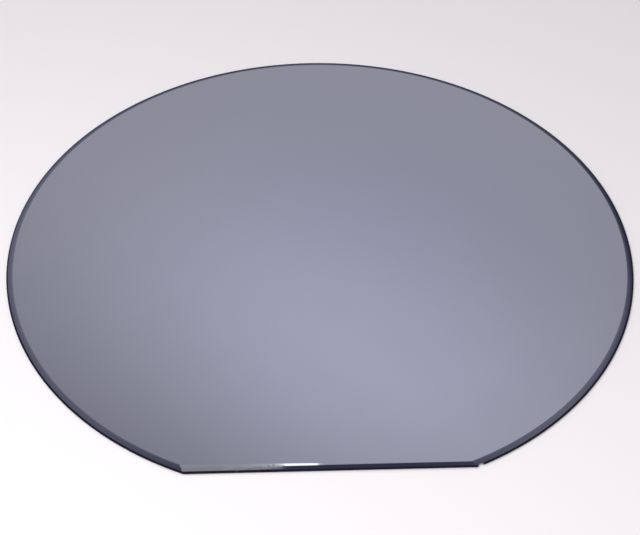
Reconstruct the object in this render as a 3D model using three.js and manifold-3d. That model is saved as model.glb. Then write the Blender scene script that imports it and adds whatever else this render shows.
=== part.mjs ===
// A silicon wafer, 150 mm across, with one primary flat.
//
// It is a single slice of one crystal. The ingot's side was ground round and given its flat, the slice
// was sawn off, its rim was ground to a shallow bevel with a round nose, and its front was polished.
//
// Millimetres, +Z up. The origin is the centre of the round outline on the back face, +Z points out of
// the polished front, and the primary flat faces -Y.

import * as THREE from "three";
import { mergeVertices, toCreasedNormals } from "three/addons/utils/BufferGeometryUtils.js";
import Module from "manifold-3d";

// Driving dimensions, in millimetres, with angles in degrees.
const DIAMETER = 150;
const THICKNESS = 0.675;
const FLAT_LENGTH = 57.5; // corner to corner along the primary flat
const EDGE_WIDTH = 1.5; // how far in from the outline the grinding reaches, on each face
const BORDER_SLOPE = 3; // fall of the bevel where it leaves the face
const SHOULDER_WIDTH = 0.45; // how far in from the outline the bevel starts to drop away faster
const SHOULDER_SLOPE = 9; // fall of the bevel there: it is a little crowned
const NOSE_SLOPE = 24; // fall of the shoulder where it meets the nose
const NOSE_RADIUS = 0.1; // rounding between a shoulder and the upright land at the outline
const FLAT_TIP = 0.05; // the flat was ground this far out of level, so its front bevel widens to -X
const CHIP_LENGTH = 1.5; // the small shell-shaped chip just round the flat's +X corner
const CHIP_DEPTH = 0.42;

// How finely the round shapes are divided.
const RIM_SEGMENTS = 180;
const ARC_DIVISIONS = 2; // half the steps along each arc of the ground edge
const CREASE = 2.5; // degrees: over the turn between rim segments, under the fall at a bevel's border
const CHIP_DETAIL = 1;

// What follows from the driving dimensions.
const RADIUS = DIAMETER / 2;
const FLAT_DISTANCE = Math.sqrt(RADIUS ** 2 - (FLAT_LENGTH / 2) ** 2);
const EDGE_ARCS = edgeArcs();
const WHEEL_MARGIN = 8; // how far the grinding wheel reaches past the flat and past each face

const wasm = await Module();
wasm.setup();

// The arcs of one half of the ground edge, from the face's border out: the crowned bevel, its shoulder
// and the nose. Each is its radius, how far its centre lies in from the outline and below the face, and
// the falls of the surface, in radians, where it starts and ends.
function edgeArcs() {
  const [border, shoulder, nose] = [BORDER_SLOPE, SHOULDER_SLOPE, NOSE_SLOPE].map(THREE.MathUtils.degToRad);
  const noseWidth = NOSE_RADIUS * (1 - Math.sin(nose));
  const stretches = [
    [EDGE_WIDTH, border, SHOULDER_WIDTH, shoulder],
    [SHOULDER_WIDTH, shoulder, noseWidth, nose],
    [noseWidth, nose, 0, Math.PI / 2],
  ];
  let fallen = 0;
  return stretches.map(([start, from, end, to]) => {
    const radius = (start - end) / (Math.sin(to) - Math.sin(from));
    const arc = {
      radius,
      inset: start + radius * Math.sin(from),
      depth: fallen + radius * Math.cos(from),
      from,
      to,
    };
    fallen += radius * (Math.cos(from) - Math.cos(to));
    return arc;
  });
}

// Adds the ground edge to a path whose x is the distance from the wafer's centre and whose y is the
// height: down the front half of the edge, down the land and back the same way to the other face.
// overrun carries both bevels straight on beyond the faces.
function traceEdge(path, outline, overrun) {
  const start = outline - EDGE_WIDTH - overrun;
  const rise = overrun * Math.tan(EDGE_ARCS[0].from);
  const quarter = Math.PI / 2;
  path.lineTo(start, THICKNESS + rise);
  for (const { radius, inset, depth, from, to } of EDGE_ARCS)
    path.absarc(outline - inset, THICKNESS - depth, radius, quarter - from, quarter - to, true);
  for (const { radius, inset, depth, from, to } of EDGE_ARCS.toReversed())
    path.absarc(outline - inset, depth, radius, to - quarter, from - quarter, true);
  path.lineTo(start, -rise);
}

// The round slice with its whole rim ground.
function roundSlice() {
  const section = new THREE.Path().moveTo(0, THICKNESS);
  traceEdge(section, RADIUS, 0);
  section.lineTo(0, 0);
  const profile = section.getPoints(ARC_DIVISIONS).reverse();
  return new THREE.LatheGeometry(profile, RIM_SEGMENTS).rotateX(Math.PI / 2);
}

// What the formed wheel takes away along the primary flat: a straight bar whose inner side is the
// ground edge.
function flatWheel() {
  const outside = FLAT_DISTANCE + WHEEL_MARGIN;
  const section = new THREE.Shape().moveTo(outside, THICKNESS + WHEEL_MARGIN);
  traceEdge(section, FLAT_DISTANCE, WHEEL_MARGIN);
  section.lineTo(outside, -WHEEL_MARGIN);
  section.closePath();
  const outward = new THREE.Vector3(0, -1, 0);
  const up = new THREE.Vector3(0, 0, 1);
  const along = new THREE.Vector3(-1, 0, 0);
  return new THREE.ExtrudeGeometry(section, {
    depth: DIAMETER,
    bevelEnabled: false,
    curveSegments: ARC_DIVISIONS,
  })
    .translate(0, 0, -DIAMETER / 2)
    .applyMatrix4(new THREE.Matrix4().makeBasis(outward, up, along))
    .rotateY(-THREE.MathUtils.degToRad(FLAT_TIP));
}

// A ball that takes a shell-shaped chip out of the rim, half the chip's length past the flat's +X corner.
function chipBall() {
  const ballRadius = (CHIP_LENGTH ** 2 / 4 + CHIP_DEPTH ** 2) / (2 * CHIP_DEPTH);
  const angle = Math.asin(FLAT_LENGTH / DIAMETER) + CHIP_LENGTH / DIAMETER;
  const reach = RADIUS - CHIP_DEPTH + ballRadius;
  const ball = new THREE.IcosahedronGeometry(ballRadius, CHIP_DETAIL);
  return ball.translate(reach * Math.sin(angle), -reach * Math.cos(angle), THICKNESS / 2);
}

// A closed geometry as a solid that can be joined and cut.
function solidOf(geometry) {
  const bare = geometry.clone();
  bare.deleteAttribute("normal");
  bare.deleteAttribute("uv");
  const merged = mergeVertices(bare);
  return new wasm.Manifold(
    new wasm.Mesh({
      numProp: 3,
      vertProperties: merged.attributes.position.array,
      triVerts: new Uint32Array(merged.index.array),
    }),
  );
}

// A solid as a geometry again, smooth along the rim and sharp at the bevels' borders.
function geometryOf(solid) {
  const { vertProperties, triVerts } = solid.getMesh();
  const geometry = new THREE.BufferGeometry();
  geometry.setAttribute("position", new THREE.BufferAttribute(vertProperties, 3));
  geometry.setIndex(new THREE.BufferAttribute(triVerts, 1));
  return toCreasedNormals(geometry, THREE.MathUtils.degToRad(CREASE));
}

// Polished silicon: a cool grey mirror.
const polishedSilicon = new THREE.MeshStandardMaterial({
  color: 0x9fa3ae,
  roughness: 0.1,
  metalness: 1,
});

const ground = solidOf(roundSlice()).subtract(solidOf(flatWheel()));
const wafer = new THREE.Mesh(geometryOf(ground.subtract(solidOf(chipBall()))), polishedSilicon);
wafer.name = "wafer";

const part = new THREE.Group();
part.add(wafer);

export default part;
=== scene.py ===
"""A polished 150 mm silicon wafer with one primary flat, lying on a pale table under soft light."""

import math
import random

import bmesh
import bpy
from mathutils import Matrix, Vector


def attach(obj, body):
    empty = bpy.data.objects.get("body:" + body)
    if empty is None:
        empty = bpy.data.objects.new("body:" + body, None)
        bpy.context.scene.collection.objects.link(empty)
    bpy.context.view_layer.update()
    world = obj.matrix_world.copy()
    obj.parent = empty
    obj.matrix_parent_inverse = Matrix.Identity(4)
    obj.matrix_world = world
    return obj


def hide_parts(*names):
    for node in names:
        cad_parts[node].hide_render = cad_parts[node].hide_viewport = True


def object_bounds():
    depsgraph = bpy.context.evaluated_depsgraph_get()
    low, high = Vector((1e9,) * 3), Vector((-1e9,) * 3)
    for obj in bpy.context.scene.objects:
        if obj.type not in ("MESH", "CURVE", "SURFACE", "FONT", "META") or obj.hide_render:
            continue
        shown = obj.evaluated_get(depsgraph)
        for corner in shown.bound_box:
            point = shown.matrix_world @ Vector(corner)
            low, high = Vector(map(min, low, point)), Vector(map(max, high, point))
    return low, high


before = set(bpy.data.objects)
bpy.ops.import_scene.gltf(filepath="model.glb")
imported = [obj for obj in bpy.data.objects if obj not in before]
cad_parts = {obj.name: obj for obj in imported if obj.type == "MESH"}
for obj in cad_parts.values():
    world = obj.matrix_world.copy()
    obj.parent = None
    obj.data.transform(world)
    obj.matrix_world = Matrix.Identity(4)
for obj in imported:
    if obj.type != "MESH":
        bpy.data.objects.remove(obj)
CAD_LOW, CAD_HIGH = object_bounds()
MM = 0.001

bl_info = {
    "name": "Silicon wafer",
    "version": (1, 0, 0),
    "blender": (4, 5, 0),
    "location": "3D View > Sidebar > Wafer",
    "description": "Adds a polished silicon wafer with a primary flat, and a studio to look at it in",
    "category": "Add Mesh",
}


# ---------------------------------------------------------------------------------------------------
# Colours and nodes


def srgb(code):
    """A hex colour such as #9FA3B1 as the linear values that Blender's sockets take."""
    parts = [int(code[i : i + 2], 16) / 255 for i in (1, 3, 5)]
    return tuple(c / 12.92 if c <= 0.04045 else ((c + 0.055) / 1.055) ** 2.4 for c in parts)


def add_node(tree, kind, inputs=None, settings=None):
    """Adds one node. Each input is given a value, or another node's output, which then feeds it."""
    node = tree.nodes.new(kind)
    for name, value in (settings or {}).items():
        setattr(node, name, value)
    for name, value in (inputs or {}).items():
        if isinstance(value, bpy.types.NodeSocket):
            tree.links.new(value, node.inputs[name])
        else:
            node.inputs[name].default_value = value
    return node


COLOURS = {"data_type": "RGBA"}  # sets a Mix node to mix colours
SMOOTH = {"interpolation_type": "SMOOTHSTEP"}  # sets a Map Range node to an S curve


def set_stops(node, stops):
    """Gives a Color Ramp node these (position, colour) stops."""
    elements = node.color_ramp.elements
    while len(elements) > 1:
        elements.remove(elements[-1])
    elements[0].position = stops[0][0]
    elements[0].color = (*stops[0][1], 1)
    for position, colour in stops[1:]:
        elements.new(position).color = (*colour, 1)


# ---------------------------------------------------------------------------------------------------
# What a user may change


class WaferSizes(bpy.types.PropertyGroup):
    """The slice's real sizes."""

    radius: bpy.props.FloatProperty(
        name="Radius",
        description="From the centre to the round outline",
        default=CAD_HIGH.x,
        unit="LENGTH",
    )
    thickness: bpy.props.FloatProperty(
        name="Thickness",
        description="From the back face to the polished front",
        default=CAD_HIGH.z,
        unit="LENGTH",
    )
    flat_distance: bpy.props.FloatProperty(
        name="Flat distance",
        description="From the centre to the primary flat",
        default=-CAD_LOW.y,
        unit="LENGTH",
    )
    edge_width: bpy.props.FloatProperty(
        name="Edge width",
        description="How far in from the outline the rim is ground",
        default=1.5 * MM,
        unit="LENGTH",
    )
    border_slope: bpy.props.FloatProperty(
        name="Border slope",
        description="Fall of the bevel where it leaves the face",
        default=math.radians(3),
        subtype="ANGLE",
    )
    shoulder_slope: bpy.props.FloatProperty(
        name="Shoulder slope",
        description="Fall of the bevel where its shoulder starts to drop away",
        default=math.radians(9),
        subtype="ANGLE",
    )
    shoulder_width: bpy.props.FloatProperty(
        name="Shoulder width",
        description="How far in from the outline the shoulder starts",
        default=0.45 * MM,
        unit="LENGTH",
    )
    nose_slope: bpy.props.FloatProperty(
        name="Nose slope",
        description="Fall of the shoulder where it meets the nose",
        default=math.radians(24),
        subtype="ANGLE",
    )
    nose_radius: bpy.props.FloatProperty(
        name="Nose radius",
        description="Rounding between a shoulder and the upright land",
        default=0.1 * MM,
        unit="LENGTH",
    )
    flat_tip: bpy.props.FloatProperty(
        name="Flat tip",
        description="How far out of level the flat was ground",
        default=math.radians(0.05),
        subtype="ANGLE",
    )
    chip_length: bpy.props.FloatProperty(
        name="Chip length",
        description="Length along the rim of the chip by the flat's corner",
        default=1.5 * MM,
        unit="LENGTH",
    )
    chip_depth: bpy.props.FloatProperty(
        name="Chip depth",
        description="How far the chip reaches in from the outline",
        default=0.42 * MM,
        unit="LENGTH",
    )
    nick_count: bpy.props.IntProperty(
        name="Edge nicks",
        description="Tiny nicks along one half of the flat's bevel",
        default=22,
        min=0,
    )


class WaferFinish(bpy.types.PropertyGroup):
    """The colours of the slice's surfaces, as their reflection at normal incidence; the ground nose's is
    darker still, as painted shade for the dark line along the edge.
    """

    polished: bpy.props.FloatVectorProperty(
        name="Polished face",
        description="Mirror-polished silicon",
        subtype="COLOR",
        size=3,
        default=srgb("#9FA3B1"),
        min=0,
        max=1,
    )
    haze: bpy.props.FloatVectorProperty(
        name="Warm haze",
        description="Where the native oxide and polishing haze warm the mirror",
        subtype="COLOR",
        size=3,
        default=srgb("#A0A2AF"),
        min=0,
        max=1,
    )
    fleck: bpy.props.FloatVectorProperty(
        name="Fleck",
        description="The one pale fleck on the front",
        subtype="COLOR",
        size=3,
        default=srgb("#B4B7C0"),
        min=0,
        max=1,
    )
    # Ground silicon is darker than the polished face, and this colour is darkened further as painted
    # shade, for the shadow along the edge's dark line.
    ground: bpy.props.FloatVectorProperty(
        name="Ground nose",
        description="Diamond-ground silicon round the outline",
        subtype="COLOR",
        size=3,
        default=srgb("#2A2C40"),
        min=0,
        max=1,
    )
    etched: bpy.props.FloatVectorProperty(
        name="Etched back",
        description="Acid-etched silicon on the back",
        subtype="COLOR",
        size=3,
        default=srgb("#8E9097"),
        min=0,
        max=1,
    )


class StageSettings(bpy.types.PropertyGroup):
    """The table, the lights and the camera."""

    table_colour: bpy.props.FloatVectorProperty(
        name="Table",
        description="White laminate",
        subtype="COLOR",
        size=3,
        default=srgb("#F6F2F3"),
        min=0,
        max=1,
    )
    camera_distance: bpy.props.FloatProperty(
        name="Camera distance",
        description="From the point that the camera looks at",
        default=231.7 * MM,
        unit="LENGTH",
    )
    camera_elevation: bpy.props.FloatProperty(
        name="Camera elevation",
        description="Height of the camera above the table, seen from the point it looks at",
        default=math.radians(44.35),
        subtype="ANGLE",
    )
    camera_azimuth: bpy.props.FloatProperty(
        name="Camera azimuth",
        description="Turn of the camera from straight in front of the flat, towards +X",
        default=math.radians(-1.96),
        subtype="ANGLE",
    )
    camera_roll: bpy.props.FloatProperty(
        name="Camera roll",
        description="Turn of the camera round its own line of sight",
        default=math.radians(0.3),
        subtype="ANGLE",
    )
    camera_lens: bpy.props.FloatProperty(
        name="Lens",
        description="Focal length on a sensor 36 mm wide",
        default=55.1,
        subtype="DISTANCE_CAMERA",
    )


# ---------------------------------------------------------------------------------------------------
# Modelling helpers


def deselect_all():
    """Back to object mode, with nothing selected."""
    if bpy.context.mode != "OBJECT":
        bpy.ops.object.mode_set(mode="OBJECT")
    bpy.ops.object.select_all(action="DESELECT")


def select_only(piece):
    """Selects this piece, and nothing else, and makes it the active one."""
    deselect_all()
    piece.select_set(True)
    bpy.context.view_layer.objects.active = piece


def select_faces(piece, wanted):
    """In edit mode, selects the faces for which wanted(centre, normal) is true, and nothing else."""
    mesh = bmesh.from_edit_mesh(piece.data)
    for part in (mesh.verts, mesh.edges, mesh.faces):
        for item in part:
            item.select = False
    for face in mesh.faces:
        if wanted(face.calc_center_median(), face.normal):
            face.select_set(True)
    mesh.select_flush_mode()
    bmesh.update_edit_mesh(piece.data)


# How finely the round shapes are divided.
BEVEL_STEPS = 6
SHOULDER_STEPS = 5
NOSE_STEPS = 6
RIM_VERTICES = 720
BALL_SUBDIVISIONS = 3


def edge_section(sizes):
    """The upper half of the ground edge, from the face's border down, as (inset from outline, height).

    A gently crowned bevel leads to a shoulder that drops away faster, and that to the round nose.
    """
    nose_inset = sizes.nose_radius * (1 - math.sin(sizes.nose_slope))
    stretches = (
        (sizes.edge_width, sizes.border_slope, sizes.shoulder_width, sizes.shoulder_slope, BEVEL_STEPS),
        (sizes.shoulder_width, sizes.shoulder_slope, nose_inset, sizes.nose_slope, SHOULDER_STEPS),
        (nose_inset, sizes.nose_slope, 0, math.pi / 2, NOSE_STEPS),
    )
    points = [(sizes.edge_width, sizes.thickness)]
    for start, slope_from, end, slope_to, steps in stretches:
        radius = (start - end) / (math.sin(slope_to) - math.sin(slope_from))
        height = points[-1][1]
        for i in range(1, steps + 1):
            slope = slope_from + (slope_to - slope_from) * i / steps
            inset = start - radius * (math.sin(slope) - math.sin(slope_from))
            points.append((inset, height - radius * (math.cos(slope_from) - math.cos(slope))))
    return points


# ---------------------------------------------------------------------------------------------------
# The slice


class MESH_OT_add_silicon_wafer(bpy.types.Operator):
    """Adds the wafer: a round slice with a ground rim and flat, a chipped corner and a polished front"""

    bl_idname = "mesh.add_silicon_wafer"
    bl_label = "Silicon wafer"
    bl_options = {"REGISTER", "UNDO"}

    def execute(self, context):
        sizes = context.scene.wafer_sizes
        wafer = grind_rim(sizes)
        grind_flat(sizes)
        give_finishes(wafer, context.scene.wafer_finish)
        chip_edge(wafer, sizes)
        sort_faces(wafer)
        mark_sharp_lines(wafer, sizes)
        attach(wafer, "root")
        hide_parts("wafer")
        return {"FINISHED"}


def grind_rim(sizes):
    """A disc as tall as the land, with its two caps inset and raised along the ground edge's section."""
    section = edge_section(sizes)
    land_top = section[-1][1]
    deselect_all()
    bpy.ops.mesh.primitive_cylinder_add(
        vertices=RIM_VERTICES,
        radius=sizes.radius,
        depth=2 * land_top - sizes.thickness,
        end_fill_type="NGON",
        location=(0, 0, sizes.thickness / 2),
    )
    wafer = bpy.context.object
    wafer.name = wafer.data.name = "silicon_wafer"
    bpy.ops.object.transform_apply(location=True, rotation=False, scale=False)
    bpy.ops.object.mode_set(mode="EDIT")
    inward = section[::-1]
    for side in (1, -1):
        select_faces(wafer, lambda centre, normal, side=side: normal.z * side > 0.9)
        for (inset, height), (next_inset, next_height) in zip(inward, inward[1:]):
            bpy.ops.mesh.inset(
                thickness=next_inset - inset, depth=next_height - height, use_even_offset=True
            )
    bpy.ops.object.mode_set(mode="OBJECT")
    return wafer


CUT_TOLERANCE = 1e-9  # metres: points nearer than this to a cutting plane count as on it


def grind_flat(sizes):
    """Cuts the active piece's primary flat, with a plane for each step of the same section."""
    upper = edge_section(sizes)
    lower = [(inset, sizes.thickness - height) for inset, height in reversed(upper)]
    section = upper + lower
    tip = Matrix.Rotation(-sizes.flat_tip, 3, "Y")
    bpy.ops.object.mode_set(mode="EDIT")
    for (inset, height), (next_inset, next_height) in zip(section, section[1:]):
        outward = Vector((0, next_height - height, inset - next_inset))
        bpy.ops.mesh.select_all(action="SELECT")
        bpy.ops.mesh.bisect(
            plane_co=tip @ Vector((0, inset - sizes.flat_distance, height)),
            plane_no=tip @ outward.normalized(),
            use_fill=True,
            clear_outer=True,
            threshold=CUT_TOLERANCE,
        )
    bpy.ops.object.mode_set(mode="OBJECT")


# The nicks along the flat, each as the least and the most in mm: the radius of the ball that breaks one
# out, how far in from the outline it lies, how deep it bites, and the stretch along X that holds them.
NICK_RADIUS = (0.2, 0.6)
NICK_INSET = (0.3, 1.3)
NICK_DEPTH = (0.02, 0.06)
NICKED_STRETCH = (-19, -8)
NICK_SEED = 11


def chip_edge(wafer, sizes):
    """Breaks the small chip out of the rim past the flat's +X corner, and nicks the flat's bevel."""
    rng = random.Random(NICK_SEED)
    half_flat = math.sqrt(sizes.radius**2 - sizes.flat_distance**2)
    corner = math.asin(half_flat / sizes.radius)
    ball = (sizes.chip_length**2 / 4 + sizes.chip_depth**2) / (2 * sizes.chip_depth)
    angle = corner + sizes.chip_length / 2 / sizes.radius
    reach = sizes.radius - sizes.chip_depth + ball
    balls = [(reach * math.sin(angle), -reach * math.cos(angle), sizes.thickness / 2, ball)]
    for _ in range(sizes.nick_count):
        radius = rng.uniform(*NICK_RADIUS) * MM
        inset = rng.uniform(*NICK_INSET) * MM
        depth = rng.uniform(*NICK_DEPTH) * MM
        along = rng.uniform(*NICKED_STRETCH) * MM
        height = inset_height(sizes, inset) + radius - depth
        balls.append((along, inset - sizes.flat_distance, height, radius))
    deselect_all()
    cutters = []
    for x, y, z, radius in balls:
        bpy.ops.mesh.primitive_ico_sphere_add(
            subdivisions=BALL_SUBDIVISIONS, radius=radius, location=(x, y, z)
        )
        cutters.append(bpy.context.object)
    for cutter in cutters:
        cutter.select_set(True)
    bpy.ops.object.join()
    cutter = bpy.context.object
    bpy.ops.object.transform_apply(location=True, rotation=False, scale=False)
    for slot in wafer.material_slots:
        cutter.data.materials.append(slot.material)
    for face in cutter.data.polygons:
        face.material_index = BROKEN
    cutter.data.update()
    select_only(wafer)
    breaks = wafer.modifiers.new("breaks", "BOOLEAN")
    breaks.operation = "DIFFERENCE"
    breaks.solver = "EXACT"
    breaks.use_self = True
    breaks.object = cutter
    bpy.ops.object.modifier_apply(modifier=breaks.name)
    bpy.data.objects.remove(cutter)


def inset_height(sizes, inset):
    """Height of the upper surface at this distance in from the outline."""
    section = edge_section(sizes)
    for (outer, low), (inner, high) in zip(section[::-1], section[::-1][1:]):
        if outer <= inset <= inner:
            return low + (high - low) * (inset - outer) / (inner - outer)
    return sizes.thickness


# The finishes, in the order of the piece's material slots.
POLISHED, BEVELLED, GROUND, ETCHED, BROKEN = range(5)
LEVEL = 0.99999  # a face whose normal's height is above this is level
STEEPEST_BEVEL = math.radians(12)  # a face that leans more than this is left as ground


def sort_faces(wafer):
    """Gives each face its finish by how it leans, apart from those that a break has left."""
    steep = math.cos(STEEPEST_BEVEL)
    for face in wafer.data.polygons:
        if face.material_index == BROKEN:
            continue
        if face.normal.z > LEVEL:
            face.material_index = POLISHED
        elif face.normal.z < -steep:
            face.material_index = ETCHED
        elif face.normal.z > steep:
            face.material_index = BEVELLED
        else:
            face.material_index = GROUND


def mark_sharp_lines(wafer, sizes):
    """Shades the slice smooth, but keeps the faces' borders, the flat's mitres and the breaks crisp."""
    select_only(wafer)
    bpy.ops.object.shade_smooth()
    bpy.ops.object.mode_set(mode="EDIT")
    bpy.ops.mesh.select_mode(type="EDGE")
    mesh = bmesh.from_edit_mesh(wafer.data)
    limit = 3 * sizes.edge_width - sizes.flat_distance

    def on_flat(face):
        """Whether the face is one of the flat's, which fall away from the wafer but not along it."""
        near = face.calc_center_median().y < limit
        return near and abs(face.normal.x) < 0.01 and abs(face.normal.z) < 0.9999

    for edge in mesh.edges:
        ends = edge.link_faces
        crisp = len(ends) == 2 and (
            any(abs(face.normal.z) > LEVEL for face in ends)
            or any(face.material_index == BROKEN for face in ends)
            or on_flat(ends[0]) != on_flat(ends[1])
        )
        edge.select_set(crisp)
    bmesh.update_edit_mesh(wafer.data)
    bpy.ops.mesh.mark_sharp()
    bpy.ops.mesh.select_mode(type="FACE")
    bpy.ops.object.mode_set(mode="OBJECT")


# ---------------------------------------------------------------------------------------------------
# Finishes


def give_finishes(wafer, finish):
    """Fills the piece's material slots, in the order that POLISHED to BROKEN give."""
    makers = (polished_silicon, bevelled_silicon, ground_silicon_and_shade, etched_silicon, broken_silicon)
    for make in makers:
        wafer.data.materials.append(make(finish))


def new_material(name, inputs):
    """A material whose Principled shader has these inputs. place is the piece's own coordinates."""
    material = bpy.data.materials.new(name)
    material.use_nodes = True
    tree = material.node_tree
    tree.nodes.clear()
    shader = add_node(tree, "ShaderNodeBsdfPrincipled", inputs)
    add_node(tree, "ShaderNodeOutputMaterial", {"Surface": shader.outputs["BSDF"]})
    place = add_node(tree, "ShaderNodeTexCoord").outputs["Object"]
    return material, tree, shader, place


NOISE_LOW, NOISE_HIGH = 0.3, 0.7  # the noise seldom leaves this range


def blotches(tree, place, size, low, high, detail=2.0):
    """Soft noise whose blotches are about this wide, spread from low to high."""
    noise = add_node(
        tree, "ShaderNodeTexNoise", {"Vector": place, "Scale": 1 / size, "Detail": detail}
    )
    spread = {
        "Value": noise.outputs["Fac"],
        "From Min": NOISE_LOW,
        "From Max": NOISE_HIGH,
        "To Min": low,
        "To Max": high,
    }
    return add_node(tree, "ShaderNodeMapRange", spread).outputs["Result"]


def soft_box(tree, place, low, high, blur):
    """1 inside a rectangle of the plan, from its low corner to its high one, and 0 well outside it."""
    axes = add_node(tree, "ShaderNodeSeparateXYZ", {"Vector": place})
    inside = 1.0
    for axis, start, end in (("X", low[0], high[0]), ("Y", low[1], high[1])):
        for border, side in ((start, blur), (end, -blur)):
            step = add_node(
                tree,
                "ShaderNodeMapRange",
                {"Value": axes.outputs[axis], "From Min": border - side, "From Max": border + side},
                SMOOTH,
            )
            inputs = {0: step.outputs["Result"], 1: inside}
            both = add_node(tree, "ShaderNodeMath", inputs, {"operation": "MULTIPLY"})
            inside = both.outputs["Value"]
    return inside


# The one pale fleck on the front: the low and the high corner of its patch of the plan.
FLECK_LOW = (-35.7 * MM, 61.1 * MM)
FLECK_HIGH = (-34.8 * MM, 61.6 * MM)
FLECK_BLUR = 0.12 * MM
# The same for the stretch of the flat's bevel that handling has dulled.
DULL_LOW = (-20 * MM, -75 * MM)
DULL_HIGH = (-9.5 * MM, -67 * MM)
DULL_BLUR = 1.5 * MM


def polished_silicon(finish):
    """Monocrystalline silicon, chemically and mechanically polished: a cool grey mirror without grain.

    It reflects a little over a third of the light, blue more than red. Native oxide warms it a trace in
    wide soft patches, wiping left faint smears in its gloss, and one pale fleck lies near the far rim.
    """
    material, tree, shader, place = new_material("polished_silicon", {"Metallic": 1.0})
    oxide = add_node(
        tree,
        "ShaderNodeMix",
        {
            "Factor": blotches(tree, place, 55 * MM, 0, 1, detail=1.0),
            "A": (*finish.polished, 1),
            "B": (*finish.haze, 1),
        },
        COLOURS,
    )
    fleck = soft_box(tree, place, FLECK_LOW, FLECK_HIGH, FLECK_BLUR)
    flecked = add_node(
        tree,
        "ShaderNodeMix",
        {"Factor": fleck, "A": oxide.outputs["Result"], "B": (*finish.fleck, 1)},
        COLOURS,
    )
    tree.links.new(flecked.outputs["Result"], shader.inputs["Base Color"])
    # Roughness 0.09 to 0.13, and 0.25 more on the fleck.
    smears = blotches(tree, place, 14 * MM, 0.09, 0.13, detail=3.0)
    gloss = add_node(
        tree, "ShaderNodeMath", {0: fleck, 1: 0.25, 2: smears}, {"operation": "MULTIPLY_ADD"}
    )
    tree.links.new(gloss.outputs["Value"], shader.inputs["Roughness"])
    return material


def bevelled_silicon(finish):
    """The bevel, ground and then polished: bright as the face, but duller where the flat is nicked."""
    settled = {"Base Color": (*finish.polished, 1), "Metallic": 1.0}
    material, tree, shader, place = new_material("bevelled_silicon", settled)
    # Roughness 0.04, and up to 0.2 among the nicks.
    nicked = soft_box(tree, place, DULL_LOW, DULL_HIGH, DULL_BLUR)
    uneven = blotches(tree, place, 0.5 * MM, 0.04, 0.16)
    gloss = add_node(
        tree, "ShaderNodeMath", {0: nicked, 1: uneven, 2: 0.04}, {"operation": "MULTIPLY_ADD"}
    )
    tree.links.new(gloss.outputs["Value"], shader.inputs["Roughness"])
    return material


def ground_silicon_and_shade(finish):
    """Diamond-ground silicon, too rough to mirror, with a fine even grain. Its dark blue-grey is partly
    painted shade: darker than ground silicon is, for the shadow along the edge.

    The real grain is about 0.03 mm wide; it is drawn at 0.12 mm.
    """
    settled = {"Metallic": 1.0, "Roughness": 0.45}
    material, tree, shader, place = new_material("ground_silicon_and_shade", settled)
    grain = blotches(tree, place, 0.12 * MM, 0, 1)
    darker = [0.6 * part for part in finish.ground]
    lighter = [1.4 * part for part in finish.ground]
    colour = add_node(
        tree, "ShaderNodeMix", {"Factor": grain, "A": (*darker, 1), "B": (*lighter, 1)}, COLOURS
    )
    tree.links.new(colour.outputs["Result"], shader.inputs["Base Color"])
    relief = add_node(tree, "ShaderNodeBump", {"Height": grain, "Distance": 0.01 * MM})
    tree.links.new(relief.outputs["Normal"], shader.inputs["Normal"])
    return material


def etched_silicon(finish):
    """Acid-etched silicon: satin grey, mottled by the shallow dimples that the etch leaves.

    The real dimples are about 0.05 mm wide; they are drawn at 0.5 mm.
    """
    material, tree, shader, place = new_material("etched_silicon", {"Metallic": 1.0})
    duller = [0.85 * part for part in finish.etched]
    mottle = blotches(tree, place, 9 * MM, 0, 1, detail=4.0)
    colour = add_node(
        tree,
        "ShaderNodeMix",
        {"Factor": mottle, "A": (*duller, 1), "B": (*finish.etched, 1)},
        COLOURS,
    )
    tree.links.new(colour.outputs["Result"], shader.inputs["Base Color"])
    dimples = blotches(tree, place, 0.5 * MM, 0, 1)
    relief = add_node(tree, "ShaderNodeBump", {"Height": dimples, "Distance": 0.02 * MM})
    tree.links.new(relief.outputs["Normal"], shader.inputs["Normal"])
    tree.links.new(blotches(tree, place, 3 * MM, 0.32, 0.46), shader.inputs["Roughness"])
    return material


def broken_silicon(finish):
    """Broken silicon: glassy and bright, with the ripples of a shell-like fracture."""
    settled = {"Base Color": (*finish.polished, 1), "Metallic": 1.0}
    material, tree, shader, place = new_material("broken_silicon", settled)
    ripples = blotches(tree, place, 0.25 * MM, 0, 1, detail=3.0)
    relief = add_node(tree, "ShaderNodeBump", {"Height": ripples, "Distance": 0.04 * MM})
    tree.links.new(relief.outputs["Normal"], shader.inputs["Normal"])
    tree.links.new(blotches(tree, place, 0.1 * MM, 0.12, 0.34), shader.inputs["Roughness"])
    return material


# ---------------------------------------------------------------------------------------------------
# The stage


class SCENE_OT_add_wafer_stage(bpy.types.Operator):
    """Adds the table, the light tent, the lamps and the camera"""

    bl_idname = "scene.add_wafer_stage"
    bl_label = "Stage"
    bl_options = {"REGISTER", "UNDO"}

    def execute(self, context):
        stage = context.scene.wafer_stage
        add_table(stage)
        hang_tent(context.scene)
        add_lamps()
        place_camera(context.scene, stage)
        context.scene.view_settings.view_transform = "Standard"
        return {"FINISHED"}


TABLE_RADIUS = 6
TABLE_GAP = 0.02 * MM  # the table lies this far under the back face, so that the two don't flicker


def add_table(stage):
    """A wide round table top of white laminate."""
    deselect_all()
    bpy.ops.mesh.primitive_circle_add(
        vertices=96, radius=TABLE_RADIUS, fill_type="NGON", location=(0, 0, -TABLE_GAP)
    )
    table = bpy.context.object
    table.name = table.data.name = "table"
    laminate = {
        "Base Color": (*stage.table_colour, 1),
        "Roughness": 0.8,
        "Specular IOR Level": 0.1,
    }
    table.data.materials.append(new_material("white_laminate", laminate)[0])


def direction_to(azimuth, elevation):
    """The unit vector to this azimuth, measured from +Y towards +X, and elevation."""
    flat = math.cos(elevation)
    return Vector((math.sin(azimuth) * flat, math.cos(azimuth) * flat, math.sin(elevation)))


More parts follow.
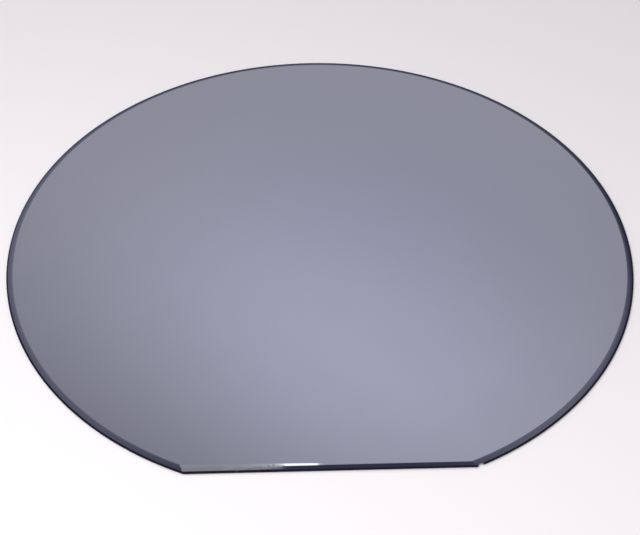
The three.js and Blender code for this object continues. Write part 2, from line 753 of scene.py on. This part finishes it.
def oval_frame(tree, direction, azimuth, elevation, width, height, turn=0):
    """Directions as places in an oval: 0 in its middle, and 1 at this width or height away from it.

    The oval's azimuth, elevation and turn are in degrees, and its width and height in unit vectors.
    """
    azimuth, elevation, turn = (math.radians(angle) for angle in (azimuth, elevation, turn))
    centre = direction_to(azimuth, elevation)
    aside = direction_to(azimuth + math.pi / 2, 0)
    axes = Matrix((aside, -centre.cross(aside), -centre)).transposed()
    placing = {
        "Vector": direction,
        "Location": centre,
        "Rotation": (axes @ Matrix.Rotation(turn, 3, "Z")).to_euler(),
        "Scale": (width, height, 100),
    }
    return add_node(tree, "ShaderNodeMapping", placing, {"vector_type": "TEXTURE"}).outputs["Vector"]


def soft_spot(tree, direction, azimuth, elevation, width, height, turn=0):
    """An oval bell of light round one direction: 1 in its middle and 0 far away."""
    place = oval_frame(tree, direction, azimuth, elevation, width, height, turn)
    reach = add_node(
        tree, "ShaderNodeVectorMath", {0: place, 1: place}, {"operation": "DOT_PRODUCT"}
    )
    bell = {0: math.exp(-1), 1: reach.outputs["Value"]}
    return add_node(tree, "ShaderNodeMath", bell, {"operation": "POWER"}).outputs["Value"]


# The cloth grows dimmer upwards. Each is a height of the unit vector and the brightness there.
CLOTH_FOOT = (0.54, 0.7)
CLOTH_HEAD = (0.84, 0.37)
CLOTH_LEAN = 0.25  # how much brighter the cloth is at X = 1 than in the middle
CLOTH_SPOT = 0.55  # how much brighter it is in the middle of its bright spot
# Warm at its rim and cool in its middle.
CLOTH_WARM = (1.01, 0.945, 0.955, 1)
CLOTH_COOL = (0.99, 1.0, 1.11, 1)
# Ovals of light: azimuth and elevation in degrees, radii across and up, and turn in degrees.
CLOTH_OVAL = (1.6, 45, 0.3, 0.24)
CLOTH_BRIGHT_SPOT = (5, 50.7, 0.33, 0.163, 22)
CLOTH_COOL_SPOT = (5, 46, 0.3, 0.22)
# Beyond the cloth, whose rim is at 1: a cool dim gap, and then pale again.
GAP_START, GAP_END = 1, 4
GAP_COLOURS = (
    (1.22, (0.38, 0.39, 0.47)),
    (1.45, (0.27, 0.27, 0.34)),
    (1.7, (0.17, 0.17, 0.24)),
    (2.0, (0.09, 0.09, 0.13)),
    (2.35, (0.13, 0.14, 0.18)),
    (2.75, (0.55, 0.53, 0.56)),
    (3.2, (0.75, 0.73, 0.75)),
)
# Soft-edged panels in the gap: ovals as above, and their colours.
GAP_PANELS = (
    (62, 60, 0.34, 0.2, (0.4, 0.38, 0.41, 1)),
    (-52, 58, 0.34, 0.26, (0.28, 0.27, 0.3, 1)),
    (4, 70, 0.3, 0.16, (0.07, 0.075, 0.12, 1)),
    (40, 28, 0.3, 0.24, (0.04, 0.05, 0.08, 1)),
    (-48, 22, 0.24, 0.2, (0.75, 0.73, 0.76, 1)),
)
WALL_COLOUR = (0.64, 0.62, 0.63, 1)
ROOM_COLOUR = (0.68, 0.66, 0.68, 1)
DIM_COLOUR = (0.2, 0.2, 0.21, 1)


def hang_tent(scene):
    """The world as a light tent: a bright oval cloth behind and above the wafer, with a dim gap round it.

    The cloth is brightest low on its right, and cooler in its middle than at its rim. Paler and darker
    panels hang in the gap, pale walls stand all round, and the side the camera looks from is dim.
    """
    world = bpy.data.worlds.new("light_tent")
    scene.world = world
    world.use_nodes = True
    tree = world.node_tree
    tree.nodes.clear()
    direction = add_node(tree, "ShaderNodeTexCoord").outputs["Generated"]
    axes = add_node(tree, "ShaderNodeSeparateXYZ", {"Vector": direction})
    oval = oval_frame(tree, direction, *CLOTH_OVAL)
    length = add_node(tree, "ShaderNodeVectorMath", {"Vector": oval}, {"operation": "LENGTH"})
    reach = length.outputs["Value"]
    around = {
        "cloth": cloth_colour(tree, direction, axes),
        "gap": gap_colour(tree, direction, reach),
        "dim": DIM_COLOUR,
        "room": ROOM_COLOUR,
        "wall": WALL_COLOUR,
    }
    # Each blend is near's colour where its measure is under start, and far's where it is over end.
    blends = (
        ("back", "cloth", "gap", reach, 1.04, 1.32),
        ("front", "dim", "room", axes.outputs["Y"], -0.9, -0.6),
        ("sides", "front", "back", axes.outputs["Y"], -0.2, 0.15),
        ("tent", "wall", "sides", axes.outputs["Z"], 0.06, 0.2),
    )
    for name, near, far, measure, start, end in blends:
        step = add_node(
            tree,
            "ShaderNodeMapRange",
            {"Value": measure, "From Min": start, "From Max": end},
            SMOOTH,
        )
        inputs = {"Factor": step.outputs["Result"], "A": around[near], "B": around[far]}
        around[name] = add_node(tree, "ShaderNodeMix", inputs, COLOURS).outputs["Result"]
    light = add_node(tree, "ShaderNodeBackground", {"Color": around["tent"]})
    add_node(tree, "ShaderNodeOutputWorld", {"Surface": light.outputs["Background"]})


def cloth_colour(tree, direction, axes):
    """The lit cloth: a slope of light up and across it, one bright spot, and a cool middle."""
    slope = {
        "Value": axes.outputs["Z"],
        "From Min": CLOTH_FOOT[0],
        "From Max": CLOTH_HEAD[0],
        "To Min": CLOTH_FOOT[1],
        "To Max": CLOTH_HEAD[1],
    }
    brightness = add_node(tree, "ShaderNodeMapRange", slope).outputs["Result"]
    spot = soft_spot(tree, direction, *CLOTH_BRIGHT_SPOT)
    for extra, amount in ((axes.outputs["X"], CLOTH_LEAN), (spot, CLOTH_SPOT)):
        sum_of = {0: extra, 1: amount, 2: brightness}
        added = add_node(tree, "ShaderNodeMath", sum_of, {"operation": "MULTIPLY_ADD"})
        brightness = added.outputs["Value"]
    cool = soft_spot(tree, direction, *CLOTH_COOL_SPOT)
    tint = add_node(
        tree, "ShaderNodeMix", {"Factor": cool, "A": CLOTH_WARM, "B": CLOTH_COOL}, COLOURS
    )
    lit = {"Vector": tint.outputs["Result"], "Scale": brightness}
    return add_node(tree, "ShaderNodeVectorMath", lit, {"operation": "SCALE"}).outputs["Vector"]


def gap_colour(tree, direction, reach):
    """The dim gap round the cloth, with its panels."""
    outward = add_node(
        tree, "ShaderNodeMapRange", {"Value": reach, "From Min": GAP_START, "From Max": GAP_END}
    )
    ramp = add_node(tree, "ShaderNodeValToRGB", {"Fac": outward.outputs["Result"]})
    width = GAP_END - GAP_START
    set_stops(ramp, [((place - GAP_START) / width, colour) for place, colour in GAP_COLOURS])
    gap = ramp.outputs["Color"]
    for *panel, colour in GAP_PANELS:
        inputs = {"Factor": soft_spot(tree, direction, *panel), "A": gap, "B": colour}
        gap = add_node(tree, "ShaderNodeMix", inputs, COLOURS).outputs["Result"]
    return gap


SUN_TURN = (math.radians(-25), math.radians(-20), 0)
SUN_STRENGTH = 0.3  # watts on a square metre
SUN_ANGLE = math.radians(40)
# The lamp over the table, in metres and watts.
OVER_LAMP_PLACE = Vector((-0.16, -0.24, 0.3))
OVER_LAMP_AIM = Vector((-0.07, -0.12, 0))
OVER_LAMP_SIZE = 0.3
OVER_LAMP_POWER = 1.03
# The row over the back of the table: left, right, near and far border in metres, and brightness.
ROW_HEIGHT = 0.6
ROW_COLOUR = (1.0, 0.93, 0.82)
ROW_LAMPS = {
    "far_left_lamp": (-0.125, -0.070, 0.100, 0.255, 0.49),
    "near_left_lamp": (-0.070, -0.024, 0.100, 0.255, 0.66),
    "glint_lamp": (-0.024, 0.009, 0.195, 0.255, 3.0),
    "right_lamp": (0.009, 0.150, 0.198, 0.255, 0.66),
}


def add_lamps():
    """A sun and a lamp for the table, which shiny things don't show, and a row for the flat's bevel.

    The steep bevel shows the row although the level face doesn't: two dim warm lamps on the left that
    reach nearer, the bright one of the glint, and a dim one on the right.
    """
    deselect_all()
    bpy.ops.object.light_add(type="SUN", rotation=SUN_TURN)
    sun = bpy.context.object
    sun.name = sun.data.name = "table_sun"
    sun.data.energy = SUN_STRENGTH
    sun.data.angle = SUN_ANGLE
    sun.visible_glossy = False
    over = add_area_lamp(
        "over_lamp", OVER_LAMP_PLACE, OVER_LAMP_SIZE, OVER_LAMP_SIZE, OVER_LAMP_POWER
    )
    over.rotation_euler = (OVER_LAMP_PLACE - OVER_LAMP_AIM).to_track_quat("Z", "Y").to_euler()
    over.visible_glossy = False
    over.visible_camera = False
    for name, (left, right, near, far, brightness) in ROW_LAMPS.items():
        width = right - left
        height = far - near
        place = ((left + right) / 2, (near + far) / 2, ROW_HEIGHT)
        lamp = add_area_lamp(name, place, width, height, brightness * math.pi * width * height)
        lamp.data.color = ROW_COLOUR


def add_area_lamp(name, place, width, height, power):
    """A rectangular lamp of this power in watts, which shines straight down."""
    deselect_all()
    bpy.ops.object.light_add(type="AREA", location=place)
    lamp = bpy.context.object
    lamp.name = lamp.data.name = name
    lamp.data.shape = "RECTANGLE"
    lamp.data.size = width
    lamp.data.size_y = height
    lamp.data.energy = power
    return lamp


CAMERA_AIM = Vector((-0.42, -12.33, 0)) * MM


def place_camera(scene, stage):
    """Looks down on the wafer from in front of its flat."""
    flat = math.cos(stage.camera_elevation)
    back = Vector(
        (
            math.sin(stage.camera_azimuth) * flat,
            -math.cos(stage.camera_azimuth) * flat,
            math.sin(stage.camera_elevation),
        )
    )
    turn = back.to_track_quat("Z", "Y") @ Matrix.Rotation(stage.camera_roll, 3, "Z").to_quaternion()
    deselect_all()
    bpy.ops.object.camera_add(
        location=CAMERA_AIM + back * stage.camera_distance, rotation=turn.to_euler()
    )
    camera = bpy.context.object
    camera.name = camera.data.name = "camera"
    camera.data.lens = stage.camera_lens
    camera.data.sensor_width = 36
    camera.data.clip_start = 0.01
    camera.data.clip_end = 50
    scene.camera = camera


# ---------------------------------------------------------------------------------------------------
# Panel and registration


class VIEW3D_PT_silicon_wafer(bpy.types.Panel):
    """Lists the wafer's sizes and finishes, the stage's settings and the buttons that add them"""

    bl_idname = "VIEW3D_PT_silicon_wafer"
    bl_label = "Silicon wafer"
    bl_space_type = "VIEW_3D"
    bl_region_type = "UI"
    bl_category = "Wafer"

    def draw(self, context):
        scene = context.scene
        groups = (
            (MESH_OT_add_silicon_wafer, (scene.wafer_sizes, scene.wafer_finish)),
            (SCENE_OT_add_wafer_stage, (scene.wafer_stage,)),
        )
        for operator, settings in groups:
            box = self.layout.box()
            for group in settings:
                for name in group.__annotations__:
                    box.prop(group, name)
            box.operator(operator.bl_idname)


CLASSES = (
    WaferSizes,
    WaferFinish,
    StageSettings,
    MESH_OT_add_silicon_wafer,
    SCENE_OT_add_wafer_stage,
    VIEW3D_PT_silicon_wafer,
)


def register():
    for cls in CLASSES:
        bpy.utils.register_class(cls)
    bpy.types.Scene.wafer_sizes = bpy.props.PointerProperty(type=WaferSizes)
    bpy.types.Scene.wafer_finish = bpy.props.PointerProperty(type=WaferFinish)
    bpy.types.Scene.wafer_stage = bpy.props.PointerProperty(type=StageSettings)


def unregister():
    del bpy.types.Scene.wafer_stage
    del bpy.types.Scene.wafer_finish
    del bpy.types.Scene.wafer_sizes
    for cls in reversed(CLASSES):
        bpy.utils.unregister_class(cls)


def main():
    register()
    bpy.ops.mesh.add_silicon_wafer()
    bpy.ops.scene.add_wafer_stage()


if __name__ == "__main__":
    main()
